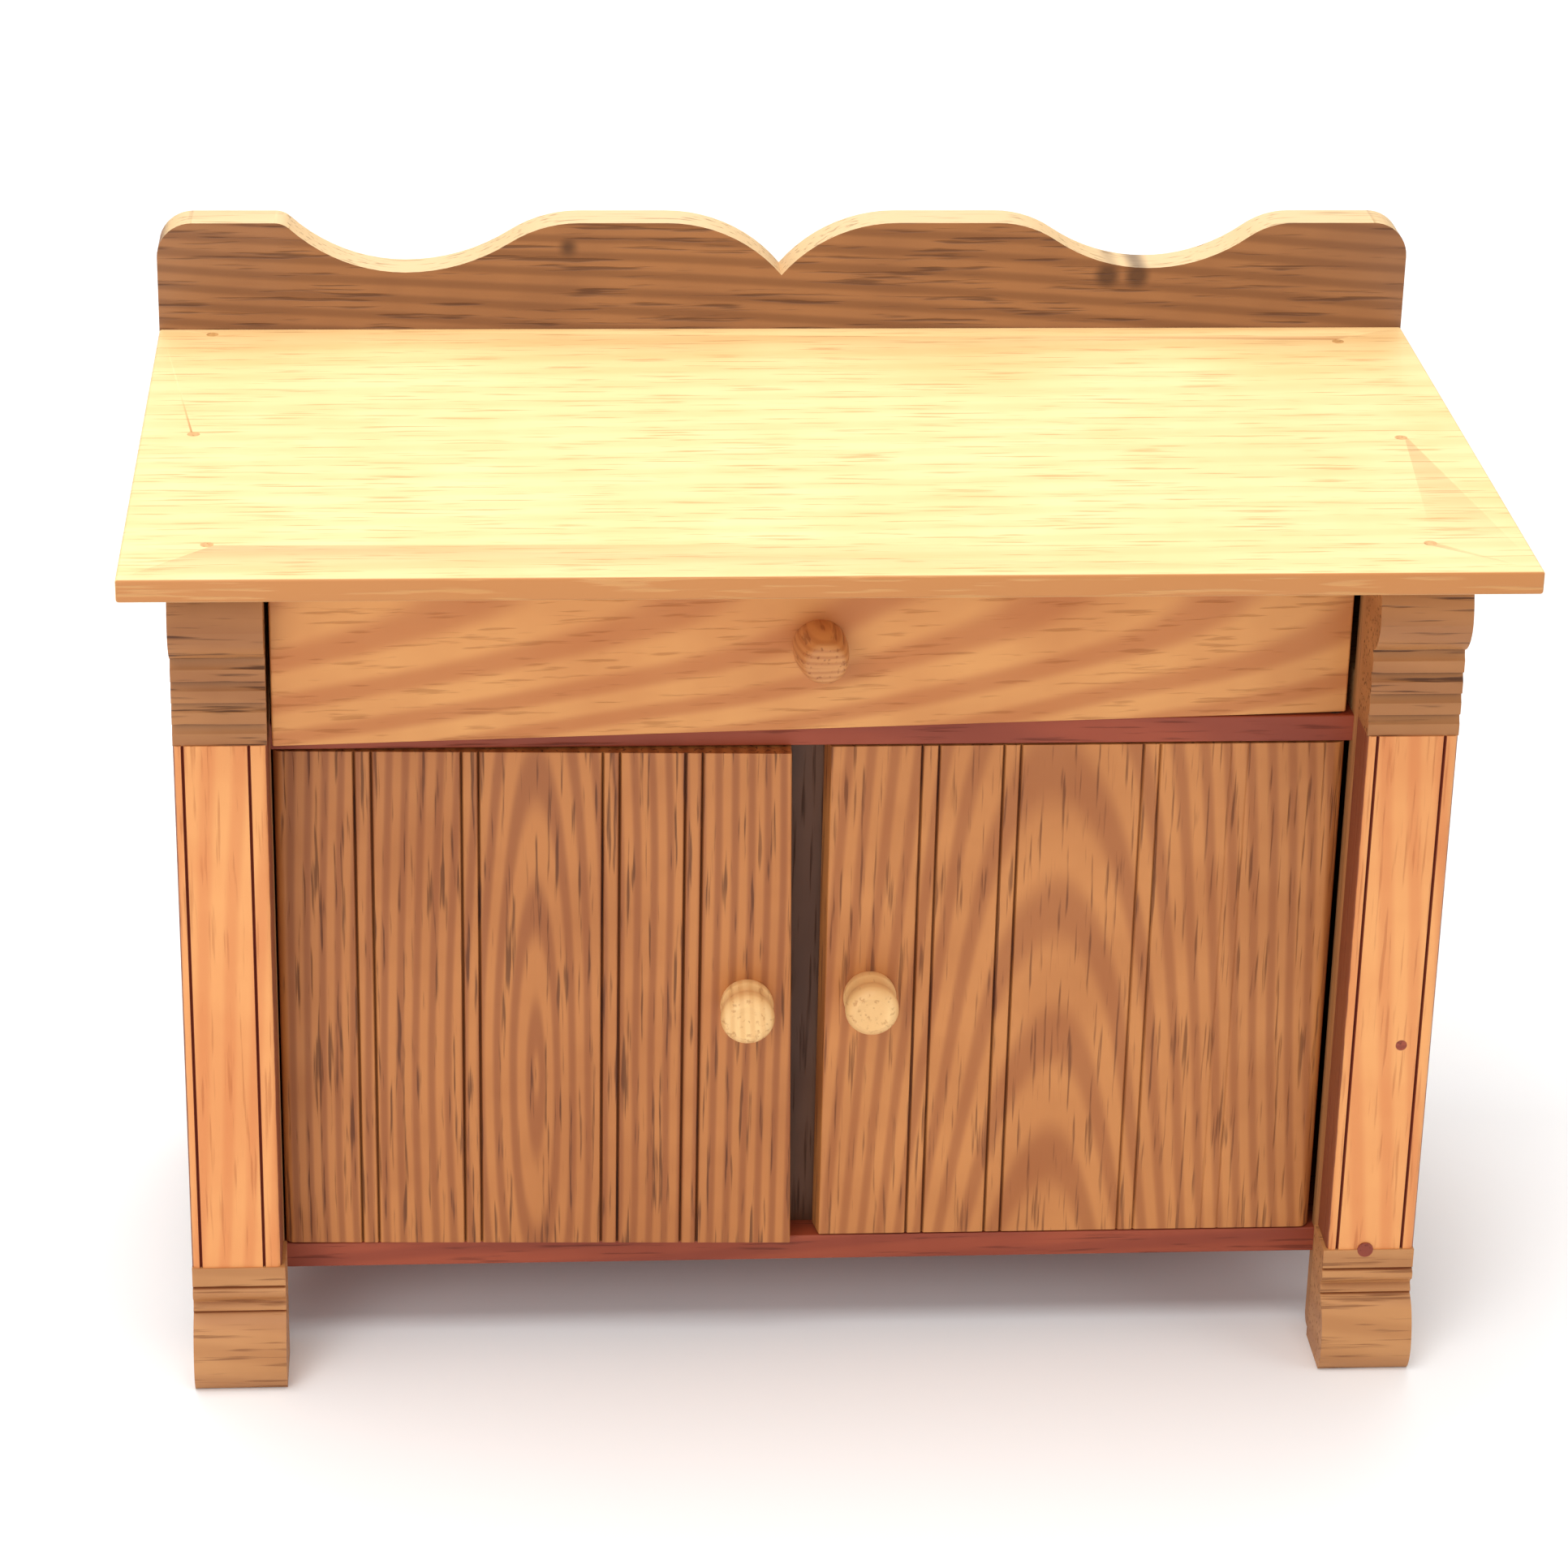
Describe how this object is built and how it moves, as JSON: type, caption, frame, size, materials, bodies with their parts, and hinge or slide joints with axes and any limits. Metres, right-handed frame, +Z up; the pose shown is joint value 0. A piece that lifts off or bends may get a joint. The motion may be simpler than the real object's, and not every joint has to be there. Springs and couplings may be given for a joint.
{
  "type": "toy icebox cabinet",
  "caption": "Small handmade wooden cabinet with a scalloped back board over an overhanging top, a drawer and a pair of doors between pilasters on scroll feet.",
  "frame": {"origin": "on the floor, at the middle of the overall width and depth", "axes": "+X to the right seen from the front, +Y to the back, +Z up"},
  "size_m": [0.457, 0.2624, 0.361],
  "materials": {
    "top_wood": "worn oil finish, pale orange",
    "splash_wood": "worn walnut brown, horizontal grain",
    "hidden_wood": "unfinished",
    "stained_shelf": "red stained edge",
    "mullion_wood": "dark brown, vertical grain",
    "drawer_pine": "oiled pine",
    "drawer_box_wood": "unfinished pine",
    "knob_wood": "turned birch, bare",
    "plug_wood": "end grain",
    "post_wood": "oiled, vertical grain",
    "side_wood": "oiled, vertical grain",
    "pilaster_cherry": "red orange cherry with dark red scored lines",
    "capital_walnut": "walnut, horizontal grain",
    "foot_walnut": "tan walnut, horizontal grain",
    "door_oak": "oiled open-pored oak, vertical grain",
    "nail_steel": "dull, slightly rusty"
  },
  "bodies": {
    "cabinet": {"top_board": "top_wood", "backsplash": "splash_wood", "back_panel": "hidden_wood", "bottom_shelf": "stained_shelf", "divider_shelf": "stained_shelf", "center_mullion": "mullion_wood", "drawer_stops": "hidden_wood", "top_nails": "nail_steel", "back_panel_nails": "nail_steel", "backsplash_nails": "nail_steel", "pilaster_plugs": "plug_wood", "front_post_left": "post_wood", "rear_post_left": "post_wood", "side_panel_left": "side_wood", "drawer_guide_left": "hidden_wood", "pilaster_left": "pilaster_cherry", "capital_left": "capital_walnut", "foot_block_left": "foot_walnut", "door_pivots_left": "nail_steel", "front_post_right": "post_wood", "rear_post_right": "post_wood", "side_panel_right": "side_wood", "drawer_guide_right": "hidden_wood", "pilaster_right": "pilaster_cherry", "capital_right": "capital_walnut", "foot_block_right": "foot_walnut", "door_pivots_right": "nail_steel"},
    "drawer": {"drawer_front": "drawer_pine", "drawer_back": "drawer_box_wood", "drawer_bottom": "drawer_box_wood", "drawer_knob": "knob_wood", "drawer_side_left": "drawer_box_wood", "drawer_side_right": "drawer_box_wood"},
    "left_door": {"door_left": "door_oak", "door_knob_left": "knob_wood"},
    "right_door": {"door_right": "door_oak", "door_knob_right": "knob_wood"}
  },
  "joints": [
    {"name": "drawer_slide", "type": "slide", "parent": "cabinet", "child": "drawer", "axis": [0, -1, 0], "range_m": [0, 0.12]},
    {"name": "left_door_hinge", "type": "hinge", "parent": "cabinet", "child": "left_door", "pos_m": [-0.1807, -0.05985, 0.13635], "axis": [0, 0, -1], "range_deg": [-2.2, 83]},
    {"name": "right_door_hinge", "type": "hinge", "parent": "cabinet", "child": "right_door", "pos_m": [0.1783, -0.05885, 0.13635], "axis": [0, 0, 1], "range_deg": [-0.4, 88.5]}
  ]
}
